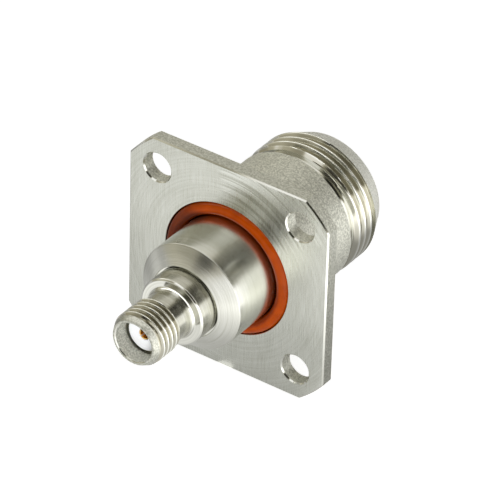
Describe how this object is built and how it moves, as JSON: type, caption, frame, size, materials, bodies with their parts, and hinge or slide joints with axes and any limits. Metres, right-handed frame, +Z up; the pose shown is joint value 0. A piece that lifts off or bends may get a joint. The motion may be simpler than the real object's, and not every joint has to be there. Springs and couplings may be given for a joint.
{
  "type": "n type connector",
  "caption": "Flange-mount coaxial adapter with an N jack on one side, an SMA jack on the other and a panel O-ring.",
  "frame": {"origin": "centre of the flange face that seals against the panel, on the turned axis", "axes": "+Y along the turned axis towards the N jack, -Y towards the SMA jack, +Z up along one side of the flange, +X right"},
  "size_m": [0.0254, 0.0357, 0.0254],
  "materials": {
    "steel": "passivated stainless steel, fine turned and brushed",
    "silicone": "satin",
    "ptfe": "smooth matte",
    "gold": "gold plated"
  },
  "bodies": {
    "root": {"flange_body": "steel", "sma_shell": "steel", "flange_seal": "silicone", "n_insulator": "ptfe", "sma_insulator": "ptfe", "n_contact": "gold", "sma_contact": "gold"}
  },
  "joints": []
}
